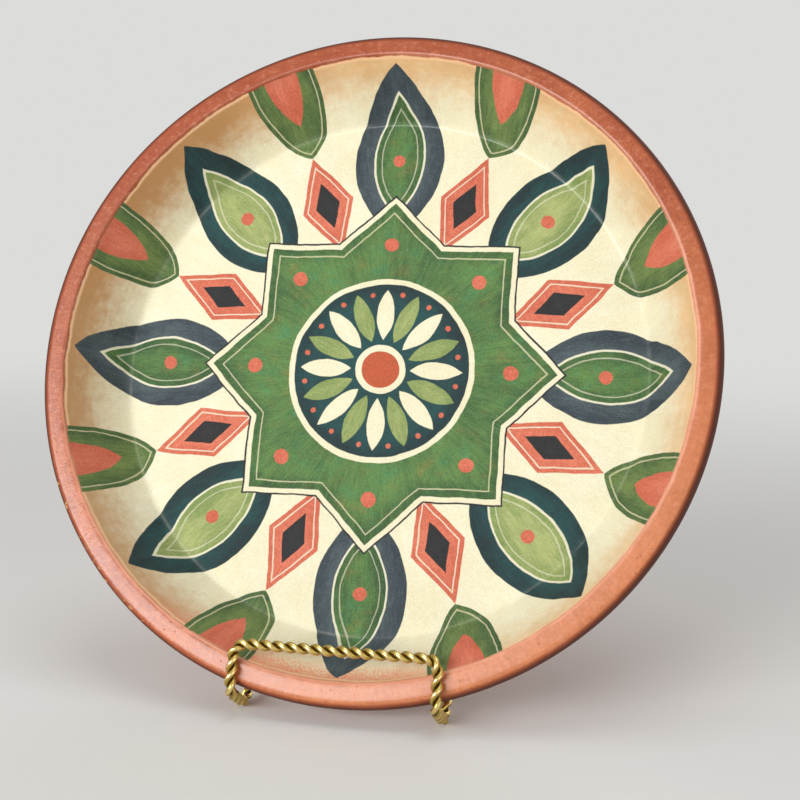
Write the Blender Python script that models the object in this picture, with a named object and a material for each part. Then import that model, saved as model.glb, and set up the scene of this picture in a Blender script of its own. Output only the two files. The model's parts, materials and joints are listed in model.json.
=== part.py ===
"""A hand painted clay plate on a folding display stand of twisted brass wire.

Metres, +Z up, the table at z = 0, the painted face towards -Y. The plate leans back on the stand's
front frame; the frame's wire hooks under the rim, and a rear leg folds flat against its back.
"""

import math

import bmesh
import bpy
from mathutils import Matrix, Quaternion, Vector

MM = 0.001
FIT_GAP = 0.3 * MM

# Plate: radii from its axis, and heights along that axis from the plane of the rim
PLATE_LEAN = math.radians(21.8)
RIM_RADIUS = 150.0 * MM
RIM_CROWN = 1.2 * MM
RIM_UNDERSIDE = -11.4 * MM
RIM_ROUND = 3.6 * MM
RIM_CHAMFER = 1.7 * MM
BAND_INNER_RADIUS = 139.2 * MM
BAND_INNER_HEIGHT = -1.2 * MM
WELL_RADIUS = 119.85 * MM
WELL_DEPTH = 29.64 * MM
FLOOR_THICKNESS = 8.0 * MM
WALL_THICKNESS = 7.0 * MM
BASE_EDGE_ROUND = 4.0 * MM
PLATE_STEPS = 72

# Twisted wire: two round strands laid around each other
WIRE_RADIUS = 2.45 * MM
STRAND_RADIUS = 1.15 * MM
STRAND_OFFSET = WIRE_RADIUS - STRAND_RADIUS
FRONT_TURNS = 53
REAR_TURNS = 25
POINTS_PER_TURN = 6
FOOT_FLAT = 0.5 * MM

# Front frame, in the plate's own plane: across, up the slope, and out of the face
FRAME_HALF_WIDTH = 43.0 * MM
LIP_BAR_UP = -127.2 * MM
LIP_BOTTOM_UP = -147.0 * MM
HEEL_UP = -151.0 * MM
HEEL_OUT = -18.0 * MM
KNEE_UP = -113.8 * MM
ARCH_FOOT_UP = -18.0 * MM
BEND_RADIUS = 5.0 * MM
KNEE_RADIUS = 14.0 * MM
PLATE_CENTRE_FORWARD = 10.2 * MM

# Hinge behind the uprights, and the stop above it
HINGE_UP = -37.0 * MM
HINGE_BEHIND_UPRIGHT = 9.0 * MM
ROD_RADIUS = 1.5 * MM
ROD_CLEARANCE = 0.25 * MM
ROD_HEAD_RADIUS = 2.7 * MM
ROD_HEAD_LENGTH = 1.4 * MM
ROD_SIDES = 16
LUG_HEIGHT = 6.0 * MM
LUG_WALL = 1.2 * MM
LUG_EAR_THICKNESS = 2.6 * MM
LUG_EAR_MARGIN = 3.2 * MM

# Rear leg, a U that stands on its closed end
REAR_LEAN = math.radians(12.0)
REAR_TOP_HALF_WIDTH = 34.5 * MM
REAR_FOOT_HALF_WIDTH = 47.0 * MM
REAR_STRAIGHT_TOP = 16.0 * MM
REAR_BEND_RADIUS = 8.0 * MM
REAR_SPLAY_RADIUS = 30.0 * MM
KNUCKLE_WIDTH = 7.4 * MM
KNUCKLE_RADIUS = 3.7 * MM
KNUCKLE_SOCKET_LENGTH = 14.0 * MM
KNUCKLE_SOLID_LENGTH = 4.5 * MM
STOP_BAR_HALF_LENGTH = 46.5 * MM
KNUCKLE_SIDES = 12

CLAY_COLOUR = (0.50, 0.13, 0.06, 1.0)
BRASS_COLOUR = (0.52, 0.36, 0.11, 1.0)

# Derived sizes
UPRIGHT_OUT = -(WELL_DEPTH + FLOOR_THICKNESS + FIT_GAP + WIRE_RADIUS)
LIP_OUT = RIM_CROWN + FIT_GAP + WIRE_RADIUS
FOLD_ANGLE = PLATE_LEAN + REAR_LEAN
STOP_REACH = (HINGE_BEHIND_UPRIGHT - WIRE_RADIUS - ROD_RADIUS - FIT_GAP) / math.sin(FOLD_ANGLE)


def clear_scene():
    """Remove every object that the file starts with."""
    for thing in list(bpy.data.objects):
        bpy.data.objects.remove(thing, do_unlink=True)


def make_material(name, colour, roughness, metallic):
    """A plain Principled finish."""
    finish = bpy.data.materials.new(name)
    finish.use_nodes = True
    shader = finish.node_tree.nodes["Principled BSDF"]
    shader.inputs["Base Color"].default_value = colour
    shader.inputs["Roughness"].default_value = roughness
    shader.inputs["Metallic"].default_value = metallic
    return finish


def make_empty(name, location, lean):
    """A guide that carries pieces, turned about the X axis."""
    guide = bpy.data.objects.new(name, None)
    guide.location = location
    guide.rotation_euler = (lean, 0.0, 0.0)
    bpy.context.collection.objects.link(guide)
    return guide


def add_piece(name, mesh, parent, finish, crease_angle=35.0):
    """Put a mesh in the scene as a named piece under its guide."""
    mesh.materials.append(finish)
    mesh.shade_smooth()
    mesh.set_sharp_from_angle(angle=math.radians(crease_angle))
    piece = bpy.data.objects.new(name, mesh)
    piece.parent = parent
    bpy.context.collection.objects.link(piece)
    return piece


def round_corners(corners, radii):
    """Points along straight runs joined by arcs; a corner of no radius is kept as it is."""
    arc_step = math.radians(10.0)
    count = len(corners)
    points = []
    for index, corner in enumerate(corners):
        if radii[index] == 0.0:
            points.append(corner.copy())
            continue
        to_last = (corners[index - 1] - corner).normalized()
        to_next = (corners[(index + 1) % count] - corner).normalized()
        half_angle = to_last.angle(to_next) / 2.0
        middle = (to_last + to_next).normalized()
        centre = corner + middle * (radii[index] / math.sin(half_angle))
        start = corner + to_last * (radii[index] / math.tan(half_angle)) - centre
        axis = to_last.cross(to_next).normalized()
        sweep = math.pi - 2.0 * half_angle
        steps = max(2, math.ceil(sweep / arc_step))
        for step in range(steps + 1):
            turn = Quaternion(axis, -sweep * step / steps)
            points.append(centre + turn @ start)
    return points


def space_evenly(points, closed, count):
    """Read a polyline at evenly spaced points; a closed one doesn't repeat its first point."""
    loop = points + [points[0]] if closed else points
    lengths = [0.0]
    for here, there in zip(loop, loop[1:]):
        lengths.append(lengths[-1] + (there - here).length)
    steps = count if closed else count - 1
    spaced = []
    run = 0
    for index in range(count):
        target = lengths[-1] * index / steps
        while run < len(lengths) - 2 and lengths[run + 1] < target:
            run += 1
        share = (target - lengths[run]) / (lengths[run + 1] - lengths[run])
        spaced.append(loop[run].lerp(loop[run + 1], share))
    return spaced


def carried_normals(path, closed, first_side):
    """Tangents along a path, and a side direction carried along it without twisting."""
    count = len(path)
    tangents = []
    for index in range(count):
        before = path[index - 1] if closed or index > 0 else path[0]
        after = path[(index + 1) % count] if closed or index < count - 1 else path[-1]
        tangents.append((after - before).normalized())
    side = first_side
    sides = [side]
    for last, tangent in zip(tangents, tangents[1:]):
        side = last.rotation_difference(tangent) @ side
        sides.append(side)
    return tangents, sides


def strand_points(corners, radii, closed, turns, first_side):
    """The centre line of one strand of the twisted wire along a rounded route."""
    count = turns * POINTS_PER_TURN + (0 if closed else 1)
    path = space_evenly(round_corners(corners, radii), closed, count)
    tangents, sides = carried_normals(path, closed, first_side)
    closing_twist = 0.0
    if closed:
        arrived = tangents[-1].rotation_difference(tangents[0]) @ sides[-1]
        closing_twist = math.atan2(arrived.cross(sides[0]).dot(tangents[0]), arrived.dot(sides[0]))
    points = []
    for index, (place, tangent, side) in enumerate(zip(path, tangents, sides)):
        share = index / (count if closed else count - 1)
        angle = share * (math.tau * turns + closing_twist)
        points.append(place + Quaternion(tangent, angle) @ side * STRAND_OFFSET)
    return points


def make_strand(name, corners, radii, closed, turns, first_side, parent, finish):
    """One strand of the wire as a round tube, cut flat where the wire stands on the table."""
    curve = bpy.data.curves.new(name, "CURVE")
    curve.dimensions = "3D"
    curve.bevel_depth = STRAND_RADIUS
    curve.bevel_resolution = 1
    curve.use_fill_caps = True
    centres = strand_points(corners, radii, closed, turns, first_side)
    spline = curve.splines.new("POLY")
    spline.points.add(len(centres) - 1)
    for point, centre in zip(spline.points, centres):
        point.co = (*centre, 1.0)
    spline.use_cyclic_u = closed
    route = bpy.data.objects.new(name + "_route", curve)
    bpy.context.collection.objects.link(route)
    depsgraph = bpy.context.evaluated_depsgraph_get()
    mesh = bpy.data.meshes.new_from_object(route.evaluated_get(depsgraph))
    bpy.data.objects.remove(route, do_unlink=True)
    mesh.name = name
    mesh.materials.clear()
    cut_at_table(mesh, parent.matrix_world)
    return add_piece(name, mesh, parent, finish, 60.0)


def cut_at_table(mesh, placement):
    """Cut a mesh off at the table top and close the cut with flat faces."""
    shape = bmesh.new()
    shape.from_mesh(mesh)
    shape.transform(placement)
    bmesh.ops.remove_doubles(shape, verts=shape.verts, dist=1e-7)
    everything = shape.verts[:] + shape.edges[:] + shape.faces[:]
    cut = bmesh.ops.bisect_plane(
        shape, geom=everything, dist=1e-7, plane_co=(0, 0, 0), plane_no=(0, 0, -1), clear_outer=True
    )
    edges = [item for item in cut["geom_cut"] if isinstance(item, bmesh.types.BMEdge)]
    bmesh.ops.contextual_create(shape, geom=edges)
    bmesh.ops.holes_fill(shape, edges=[edge for edge in shape.edges if edge.is_boundary])
    bmesh.ops.recalc_face_normals(shape, faces=shape.faces)
    shape.transform(placement.inverted())
    shape.to_mesh(mesh)
    shape.free()


def plate_profile():
    """Half of the plate's section, from the middle of its face round the rim to its base."""
    wall_run = Vector((BAND_INNER_RADIUS - WELL_RADIUS, BAND_INNER_HEIGHT + WELL_DEPTH)).normalized()
    outer_shift = Vector((wall_run.y, -wall_run.x)) * WALL_THICKNESS
    outer_start = Vector((WELL_RADIUS, -WELL_DEPTH)) + outer_shift
    base_height = -(WELL_DEPTH + FLOOR_THICKNESS)
    wall_slope = wall_run.x / wall_run.y

    def outer_wall(height):
        return outer_start.x + (height - outer_start.y) * wall_slope

    round_centre = RIM_RADIUS - RIM_ROUND
    points = [
        (0.0, -WELL_DEPTH),
        (0.5 * WELL_RADIUS, -WELL_DEPTH),
        (WELL_RADIUS - 1.6 * MM, -WELL_DEPTH),
        (WELL_RADIUS + 0.5 * MM, -WELL_DEPTH + 0.9 * MM),
        (BAND_INNER_RADIUS, BAND_INNER_HEIGHT),
        (BAND_INNER_RADIUS + RIM_CHAMFER, RIM_CROWN - 0.3 * MM),
    ]
    points += arc_points((round_centre, RIM_CROWN - RIM_ROUND), RIM_ROUND, 90.0, 0.0, 3)
    points += arc_points((round_centre, RIM_UNDERSIDE + RIM_ROUND), RIM_ROUND, 0.0, -90.0, 3)
    points += [
        (outer_wall(RIM_UNDERSIDE - 1.2 * MM), RIM_UNDERSIDE - 1.2 * MM),
        (outer_wall(base_height + BASE_EDGE_ROUND), base_height + BASE_EDGE_ROUND),
        (outer_wall(base_height) - 0.6 * MM, base_height + 0.35 * BASE_EDGE_ROUND),
        (outer_wall(base_height) - 0.6 * BASE_EDGE_ROUND, base_height),
        (0.5 * WELL_RADIUS, base_height),
        (0.0, base_height),
    ]
    return [Vector((radius, 0.0, height)) for radius, height in points]


def make_turned(name, profile, steps, parent, finish, crease_angle=35.0):
    """A piece turned about its own Z axis from half of its section."""
    mesh = bpy.data.meshes.new(name)
    edges = [(index, index + 1) for index in range(len(profile) - 1)]
    mesh.from_pydata(profile, edges, [])
    piece = add_piece(name, mesh, parent, finish, crease_angle)
    turn = piece.modifiers.new("turn", "SCREW")
    turn.axis = "Z"
    turn.angle = math.tau
    turn.steps = steps
    turn.render_steps = steps
    turn.use_merge_vertices = True
    turn.merge_threshold = 0.00001
    turn.use_smooth_shade = True
    return piece


def rod_profile(half_length, head_radius, head_length):
    """Half of a round rod's section, with a domed head at each end where one is wanted."""
    chamfer = 0.4 * MM
    tip = half_length + head_length
    points = [(0.0, tip), (head_radius - chamfer, tip), (head_radius, tip - chamfer)]
    if head_radius > ROD_RADIUS:
        points += [(head_radius, half_length), (ROD_RADIUS, half_length)]
    mirrored = [(radius, -height) for radius, height in reversed(points)]
    return [Vector((radius, 0.0, height)) for radius, height in points + mirrored]


def extruded_mesh(name, outline, axis_start, axis_end):
    """A prism between two parallel copies of one outline, given as points in its own plane."""
    shape = bmesh.new()
    face = shape.faces.new([shape.verts.new(point + axis_start) for point in outline])
    grown = bmesh.ops.extrude_face_region(shape, geom=[face])
    moved = [item for item in grown["geom"] if isinstance(item, bmesh.types.BMVert)]
    bmesh.ops.translate(shape, verts=moved, vec=axis_end - axis_start)
    bmesh.ops.recalc_face_normals(shape, faces=shape.faces)
    mesh = bpy.data.meshes.new(name)
    shape.to_mesh(mesh)
    shape.free()
    return mesh


def arc_points(centre, radius, start, end, steps):
    """Points of an arc in a plane, as pairs, from one angle to another."""
    angles = [math.radians(start + (end - start) * step / steps) for step in range(steps + 1)]
    return [(centre[0] + radius * math.cos(a), centre[1] + radius * math.sin(a)) for a in angles]


def bore(piece, name, radius, start, end):
    """Cut a round hole through a piece between two points of its own frame."""
    run = end - start
    shape = bmesh.new()
    bmesh.ops.create_cone(
        shape, cap_ends=True, segments=ROD_SIDES, radius1=radius, radius2=radius, depth=run.length
    )
    turn = run.to_track_quat("Z", "Y").to_matrix().to_4x4()
    shape.transform(Matrix.Translation((start + end) / 2.0) @ turn)
    mesh = bpy.data.meshes.new(name)
    shape.to_mesh(mesh)
    shape.free()
    cutter = bpy.data.objects.new(name, mesh)
    cutter.parent = piece.parent
    cutter.hide_render = True
    cutter.display_type = "WIRE"
    bpy.context.collection.objects.link(cutter)
    cut = piece.modifiers.new(name, "BOOLEAN")
    cut.operation = "DIFFERENCE"
    cut.object = cutter


def front_route():
    """The front frame's closed route: from the lip bar's middle round heel, arch and heel."""
    side = [
        (FRAME_HALF_WIDTH, LIP_BAR_UP, LIP_OUT, BEND_RADIUS),
        (FRAME_HALF_WIDTH, LIP_BOTTOM_UP, LIP_OUT, BEND_RADIUS),
        (FRAME_HALF_WIDTH, HEEL_UP, HEEL_OUT, BEND_RADIUS),
        (FRAME_HALF_WIDTH, KNEE_UP, UPRIGHT_OUT, KNEE_RADIUS),
        (FRAME_HALF_WIDTH, ARCH_FOOT_UP + FRAME_HALF_WIDTH, UPRIGHT_OUT, 0.98 * FRAME_HALF_WIDTH),
    ]
    middle = [(0.0, LIP_BAR_UP, LIP_OUT, 0.0)]
    mirrored = [(-across, up, out, radius) for across, up, out, radius in reversed(side)]
    stations = middle + side + mirrored
    corners = [Vector(station[:3]) for station in stations]
    radii = [station[3] for station in stations]
    return corners, radii


def rear_route(foot_drop):
    """The rear leg's open route in the hinge's frame: down one side, along the foot and up."""
    side = [
        (REAR_TOP_HALF_WIDTH, -KNUCKLE_SOLID_LENGTH - STRAND_RADIUS, 0.0),
        (REAR_TOP_HALF_WIDTH, -REAR_STRAIGHT_TOP, REAR_SPLAY_RADIUS),
        (REAR_FOOT_HALF_WIDTH, -foot_drop, REAR_BEND_RADIUS),
    ]
    stations = side + [(-across, along, radius) for across, along, radius in reversed(side)]
    corners = [Vector((across, 0.0, along)) for across, along, radius in stations]
    radii = [radius for across, along, radius in stations]
    return corners, radii


def make_lug(name, side, parent, finish):
    """A brass saddle soldered to an upright's back, with an ear that carries the hinge rod."""
    inner = WIRE_RADIUS + FIT_GAP
    outer = inner + LUG_WALL
    half_ear = LUG_EAR_THICKNESS / 2.0
    meet = math.degrees(math.asin(half_ear / outer))
    ear_end = -(HINGE_BEHIND_UPRIGHT + LUG_EAR_MARGIN)
    section = arc_points((0.0, 0.0), outer, 0.0, -90.0 + meet, 6)
    section += [(half_ear, ear_end), (-half_ear, ear_end)]
    section += arc_points((0.0, 0.0), outer, -90.0 - meet, -180.0, 6)
    section += arc_points((0.0, 0.0), inner, -180.0, 0.0, 10)
    centre = Vector((side * FRAME_HALF_WIDTH, HINGE_UP, UPRIGHT_OUT))
    outline = [centre + Vector((across, 0.0, out)) for across, out in section]
    half_height = Vector((0.0, LUG_HEIGHT / 2.0, 0.0))
    lug = add_piece(name, extruded_mesh(name, outline, -half_height, half_height), parent, finish)
    rod_centre = centre - Vector((0.0, 0.0, HINGE_BEHIND_UPRIGHT))
    past_ear = Vector((LUG_EAR_THICKNESS, 0.0, 0.0))
    bore(lug, name + "_rod_hole", ROD_RADIUS + ROD_CLEARANCE, rod_centre - past_ear, rod_centre + past_ear)
    return lug


def make_knuckle(name, side, parent, finish):
    """A brass block that turns on the hinge rod, holds the stop bar and takes the leg's end."""
    section = arc_points((0.0, STOP_REACH), KNUCKLE_RADIUS, 0.0, 180.0, KNUCKLE_SIDES)
    section += [(-KNUCKLE_RADIUS, -KNUCKLE_SOCKET_LENGTH), (KNUCKLE_RADIUS, -KNUCKLE_SOCKET_LENGTH)]
    centre = Vector((side * REAR_TOP_HALF_WIDTH, 0.0, 0.0))
    outline = [centre + Vector((0.0, back, up)) for back, up in section]
    half_width = Vector((KNUCKLE_WIDTH / 2.0, 0.0, 0.0))
    knuckle = add_piece(name, extruded_mesh(name, outline, -half_width, half_width), parent, finish)
    hole = ROD_RADIUS + ROD_CLEARANCE
    bore(knuckle, name + "_rod_hole", hole, centre - 2 * half_width, centre + 2 * half_width)
    stop = centre + Vector((0.0, 0.0, STOP_REACH))
    bore(knuckle, name + "_stop_hole", hole, stop - 2 * half_width, stop + 2 * half_width)
    socket_top = centre - Vector((0.0, 0.0, KNUCKLE_SOLID_LENGTH))
    socket_mouth = centre - Vector((0.0, 0.0, KNUCKLE_SOCKET_LENGTH + 2.0 * MM))
    bore(knuckle, name + "_socket", WIRE_RADIUS + FIT_GAP, socket_mouth, socket_top)
    return knuckle


def lay_across(piece, across, location):
    """Turn a piece made about Z so that its axis lies along X, at a place in its guide's frame."""
    piece.rotation_euler = (0.0, math.radians(90.0), 0.0)
    piece.location = location + Vector((across, 0.0, 0.0))


clear_scene()
clay = make_material("painted_clay", CLAY_COLOUR, 0.45, 0.0)
brass = make_material("brass", BRASS_COLOUR, 0.3, 1.0)

# The frame's heels set the height: their lowest wire is cut flat where it meets the table
seat_turn = Matrix.Rotation(math.radians(90.0) - PLATE_LEAN, 3, "X")
frame_corners, frame_radii = front_route()
lowest = min((seat_turn @ point).z for point in round_corners(frame_corners, frame_radii))
seat_place = Vector((0.0, -PLATE_CENTRE_FORWARD, WIRE_RADIUS - FOOT_FLAT - lowest))
seat = make_empty("plate_seat", seat_place, math.radians(90.0) - PLATE_LEAN)

hinge_in_seat = Vector((0.0, HINGE_UP, UPRIGHT_OUT - HINGE_BEHIND_UPRIGHT))
hinge_place = seat_place + seat_turn @ hinge_in_seat
hinge = make_empty("rear_leg_hinge", hinge_place, REAR_LEAN)
bpy.context.view_layer.update()

make_turned("plate", plate_profile(), PLATE_STEPS, seat, clay)

for strand, way in (("a", 1.0), ("b", -1.0)):
    name = "front_wire_" + strand
    first_side = Vector((0.0, 0.0, way))
    make_strand(name, frame_corners, frame_radii, True, FRONT_TURNS, first_side, seat, brass)

for word, side in (("left", -1.0), ("right", 1.0)):
    make_lug("hinge_lug_" + word, side, seat, brass)

rod_half_length = FRAME_HALF_WIDTH + LUG_EAR_THICKNESS / 2.0 + FIT_GAP
headed_section = rod_profile(rod_half_length, ROD_HEAD_RADIUS, ROD_HEAD_LENGTH)
rod = make_turned("hinge_rod", headed_section, ROD_SIDES, seat, brass)
lay_across(rod, 0.0, hinge_in_seat)

leg_drop = (hinge_place.z - WIRE_RADIUS + FOOT_FLAT) / math.cos(REAR_LEAN)
leg_corners, leg_radii = rear_route(leg_drop)
for strand, way in (("a", 1.0), ("b", -1.0)):
    name = "rear_wire_" + strand
    first_side = Vector((0.0, way, 0.0))
    make_strand(name, leg_corners, leg_radii, False, REAR_TURNS, first_side, hinge, brass)

for word, side in (("left", -1.0), ("right", 1.0)):
    make_knuckle("rear_knuckle_" + word, side, hinge, brass)

plain_section = rod_profile(STOP_BAR_HALF_LENGTH, ROD_RADIUS, 0.0)
stop_bar = make_turned("stop_bar", plain_section, ROD_SIDES, hinge, brass)
lay_across(stop_bar, 0.0, Vector((0.0, 0.0, STOP_REACH)))
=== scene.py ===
"""The looks of a hand painted clay plate on a folding stand of twisted brass wire.

The file follows the object as it is put together: the front frame is twisted and bent, its hinge is
soldered on, the rear leg is hung from the hinge, and the plate is set in the stand.
"""

import json
import math

import bpy
from mathutils import Matrix, Quaternion, Vector
from mathutils.kdtree import KDTree


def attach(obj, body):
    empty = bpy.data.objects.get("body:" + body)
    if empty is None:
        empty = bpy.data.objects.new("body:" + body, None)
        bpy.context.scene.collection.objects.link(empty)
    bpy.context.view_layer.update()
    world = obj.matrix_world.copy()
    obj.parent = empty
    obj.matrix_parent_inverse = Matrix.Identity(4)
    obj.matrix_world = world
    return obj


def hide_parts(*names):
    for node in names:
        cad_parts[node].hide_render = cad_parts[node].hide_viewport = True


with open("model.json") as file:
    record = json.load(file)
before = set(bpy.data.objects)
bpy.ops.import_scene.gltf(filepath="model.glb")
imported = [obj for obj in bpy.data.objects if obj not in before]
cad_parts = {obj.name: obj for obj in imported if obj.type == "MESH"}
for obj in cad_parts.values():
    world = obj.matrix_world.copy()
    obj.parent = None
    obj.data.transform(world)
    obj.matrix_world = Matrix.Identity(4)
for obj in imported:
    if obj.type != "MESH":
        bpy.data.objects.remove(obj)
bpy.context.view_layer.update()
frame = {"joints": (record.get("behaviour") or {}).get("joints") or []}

# Front frame
# Two drawn brass strands, twisted together and bent into one closed loop: lip bar, lip legs, heels,
# knees and uprights under an arch. The plate leans on the uprights, behind the lip legs.
MM = 0.001
FIT_GAP = 0.3 * MM
PLATE_LEAN = math.radians(21.8)
PLATE_BASE_OUT = -37.64 * MM
RIM_CROWN = 1.2 * MM
WIRE_RADIUS = 2.45 * MM
STRAND_RADIUS = 1.215 * MM
STRAND_OFFSET = WIRE_RADIUS - STRAND_RADIUS
FRONT_TURNS = 53
FRAME_HALF_WIDTH = 43.0 * MM
LIP_BAR_UP = -127.2 * MM
LIP_BOTTOM_UP = -147.0 * MM
LIP_OUT = RIM_CROWN + FIT_GAP + WIRE_RADIUS
HEEL_UP = -151.0 * MM
HEEL_OUT = -18.0 * MM
KNEE_UP = -113.8 * MM
ARCH_TOP_UP = 25.0 * MM
UPRIGHT_OUT = PLATE_BASE_OUT - FIT_GAP - WIRE_RADIUS
BEND_RADIUS = 5.0 * MM
KNEE_RADIUS = 14.0 * MM
ARCH_RADIUS = 0.98 * FRAME_HALF_WIDTH
CUT_TOLERANCE = 0.0001 * MM
HINGE_UP = -37.0 * MM
HINGE_BEHIND_UPRIGHT = 9.0 * MM

# The stand is laid out in the plate's own plane: across, up the slope and out of the face
fold_joint = next(joint for joint in frame["joints"] if joint["name"] == "rear_leg_fold")
hinge_place = Vector(fold_joint["pos_m"])
hinge_in_seat = Vector((0.0, HINGE_UP, UPRIGHT_OUT - HINGE_BEHIND_UPRIGHT))
seat_turn = Matrix.Rotation(math.radians(90.0) - PLATE_LEAN, 4, "X")
seat = Matrix.Translation(hinge_place) @ seat_turn @ Matrix.Translation(-hinge_in_seat)


def choose(piece):
    """Make one object the only one selected, and the active one."""
    bpy.ops.object.select_all(action="DESELECT")
    piece.select_set(True)
    bpy.context.view_layer.objects.active = piece


def rounded_route(stations, placement):
    """Points along straight runs joined by arcs; a station is a corner and its bend radius."""
    arc_step = math.radians(4.0)
    corners = [Vector(corner) for corner, radius in stations]
    points = []
    for index, (corner, radius) in enumerate(stations):
        corner = Vector(corner)
        if radius == 0.0:
            points.append(corner)
            continue
        to_last = (corners[index - 1] - corner).normalized()
        to_next = (corners[(index + 1) % len(corners)] - corner).normalized()
        half_angle = to_last.angle(to_next) / 2.0
        centre = corner + (to_last + to_next).normalized() * (radius / math.sin(half_angle))
        start = corner + to_last * (radius / math.tan(half_angle)) - centre
        axis = to_last.cross(to_next).normalized()
        sweep = math.pi - 2.0 * half_angle
        steps = math.ceil(sweep / arc_step)
        for step in range(steps + 1):
            points.append(centre + Quaternion(axis, -sweep * step / steps) @ start)
    return [placement @ point for point in points]


def spaced_evenly(points, closed, count):
    """Read a route at evenly spaced points; a closed one doesn't repeat its first point."""
    loop = points + [points[0]] if closed else points
    lengths = [0.0]
    for here, there in zip(loop, loop[1:]):
        lengths.append(lengths[-1] + (there - here).length)
    steps = count if closed else count - 1
    spaced = []
    run = 0
    for index in range(count):
        target = lengths[-1] * index / steps
        while run < len(lengths) - 2 and lengths[run + 1] < target:
            run += 1
        share = (target - lengths[run]) / (lengths[run + 1] - lengths[run])
        spaced.append(loop[run].lerp(loop[run + 1], share))
    return spaced


def strand_centres(axis_points, closed, turns, first_side):
    """The centre line of one strand, wound right-handed round the wire's axis."""
    count = len(axis_points)
    tangents = []
    for index in range(count):
        before = axis_points[index - 1] if closed or index > 0 else axis_points[0]
        after = axis_points[(index + 1) % count] if closed or index < count - 1 else axis_points[-1]
        tangents.append((after - before).normalized())
    sides = [first_side]
    for last, tangent in zip(tangents, tangents[1:]):
        sides.append(last.rotation_difference(tangent) @ sides[-1])
    closing_twist = 0.0
    if closed:
        arrived = tangents[-1].rotation_difference(tangents[0]) @ sides[-1]
        closing_twist = math.atan2(arrived.cross(sides[0]).dot(tangents[0]), arrived.dot(sides[0]))
    centres = []
    for index, (place, tangent, side) in enumerate(zip(axis_points, tangents, sides)):
        angle = index / (count if closed else count - 1) * (math.tau * turns + closing_twist)
        centres.append(place + Quaternion(tangent, angle) @ side * STRAND_OFFSET)
    return centres


def cut_flat(away):
    """Cut the piece being edited through the origin, and drop what lies on the side named."""
    origin = (0.0, 0.0, 0.0)
    bpy.ops.mesh.select_all(action="SELECT")
    bpy.ops.mesh.bisect(
        plane_co=origin, plane_no=away, use_fill=True, clear_outer=True, threshold=CUT_TOLERANCE
    )


def make_strand(name, stations, placement, closed, turns, first_side):
    """One strand as a smooth round tube, cut flat where the wire stands on the table."""
    points_per_turn = 22
    count = turns * points_per_turn + (0 if closed else 1)
    axis_points = spaced_evenly(rounded_route(stations, placement), closed, count)
    centres = strand_centres(axis_points, closed, turns, placement.to_3x3() @ Vector(first_side))
    curve = bpy.data.curves.new(name, "CURVE")
    curve.dimensions = "3D"
    curve.bevel_depth = STRAND_RADIUS
    curve.bevel_resolution = 5
    curve.use_fill_caps = True
    spline = curve.splines.new("POLY")
    spline.points.add(count - 1)
    for point, centre in zip(spline.points, centres):
        point.co = (*centre, 1.0)
    spline.use_cyclic_u = closed
    strand = bpy.data.objects.new(name, curve)
    bpy.context.collection.objects.link(strand)
    choose(strand)
    bpy.ops.object.convert(target="MESH")
    bpy.ops.object.mode_set(mode="EDIT")
    bpy.ops.mesh.select_all(action="SELECT")
    bpy.ops.mesh.remove_doubles(threshold=0.001 * MM)
    cut_flat((0.0, 0.0, -1.0))
    bpy.ops.mesh.select_all(action="SELECT")
    bpy.ops.mesh.normals_make_consistent(inside=False)
    bpy.ops.object.mode_set(mode="OBJECT")
    bpy.ops.object.shade_smooth_by_angle(angle=math.radians(50.0))
    mark_crests(strand, axis_points)
    return strand


def mark_crests(strand, axis_points):
    """Store how far each point stands out of the wire: 0 in the groove, 1 on the crest of the lay."""
    wire_axis = KDTree(len(axis_points))
    for index, point in enumerate(axis_points):
        wire_axis.insert(point, index)
    wire_axis.balance()
    crest = strand.data.attributes.new("crest", "FLOAT", "POINT")
    for vertex, item in zip(strand.data.vertices, crest.data):
        away = wire_axis.find(vertex.co)[2]
        item.value = min(1.0, max(0.0, (away - STRAND_OFFSET) / STRAND_RADIUS))


def paint(red, green, blue):
    """A colour as a paint chart gives it, 0 to 255, for a shader's colour socket."""
    shares = [value / 255.0 for value in (red, green, blue)]
    linear = [s / 12.92 if s <= 0.04045 else ((s + 0.055) / 1.055) ** 2.4 for s in shares]
    return (*linear, 1.0)


def fill_socket(tree, socket, value):
    """Link a socket to another node's output, or set it to a plain value."""
    if isinstance(value, bpy.types.NodeSocket):
        tree.links.new(value, socket)
    else:
        socket.default_value = value


def add_node(tree, kind, inputs=None, **options):
    """A shader node with its options set and its named inputs filled."""
    node = tree.nodes.new("ShaderNode" + kind)
    for option, value in options.items():
        setattr(node, option, value)
    for name, value in (inputs or {}).items():
        fill_socket(tree, node.inputs[name], value)
    return node


def formula(tree, operation, *terms, clamp=False):
    """One step of arithmetic on values that change over the surface."""
    node = tree.nodes.new("ShaderNodeMath")
    node.operation = operation
    node.use_clamp = clamp
    for socket, term in zip(node.inputs, terms):
        fill_socket(tree, socket, term)
    return node.outputs[0]


def weigh(tree, *parts):
    """The sum of several values, each times its weight."""
    total = 0.0
    for value, weight in parts:
        total = formula(tree, "MULTIPLY_ADD", value, weight, total)
    return total


def fade(tree, value, start, end):
    """0 where a value is at start, 1 where it is at end, and smooth between them."""
    limits = {"Value": value, "From Min": start, "From Max": end}
    return add_node(tree, "MapRange", limits, interpolation_type="SMOOTHSTEP").outputs["Result"]


def blend(tree, share, under, over, blend_type="MIX"):
    """One colour laid over another."""
    node = add_node(tree, "Mix", data_type="RGBA", blend_type=blend_type)
    for index, value in ((0, share), (6, under), (7, over)):
        fill_socket(tree, node.inputs[index], value)
    return node.outputs[2]


def noise(tree, place, scale, detail=3.0, roughness=0.55):
    """Cloudy variation between 0 and 1."""
    inputs = {"Vector": place, "Scale": scale, "Detail": detail, "Roughness": roughness}
    return add_node(tree, "TexNoise", inputs).outputs["Fac"]


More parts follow.
